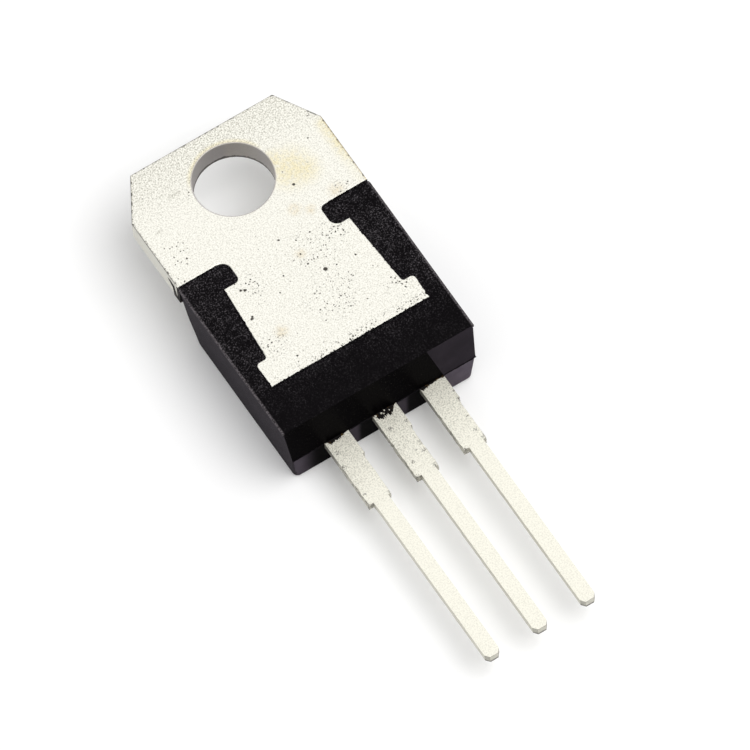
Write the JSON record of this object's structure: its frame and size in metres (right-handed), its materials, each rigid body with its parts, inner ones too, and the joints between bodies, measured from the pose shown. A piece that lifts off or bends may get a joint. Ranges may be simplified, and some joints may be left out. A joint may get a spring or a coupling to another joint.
{
  "type": "triac",
  "caption": "Power triac in a flat moulded package with a drilled metal mounting tab and three flat leads in a row, for switching mains current.",
  "frame": {"origin": "centre of the tab hole on the metal back face", "axes": "+Z out of the metal back face, +Y towards the free end of the tab, leads pointing to -Y, gate lead on -X"},
  "size_m": [0.0102, 0.029, 0.0045],
  "materials": {
    "tin_plate": "matte",
    "mould_compound": "matte",
    "silicon": "satin",
    "solder": "satin",
    "copper": "satin"
  },
  "bodies": {
    "root": {"heatsink_frame": "tin_plate", "main_terminal_lead": "tin_plate", "gate_lead": "tin_plate", "moulded_body": "mould_compound", "triac_die": "silicon", "die_solder": "solder", "clip_solder": "solder", "main_terminal_clip": "copper", "gate_clip": "copper"}
  },
  "joints": []
}
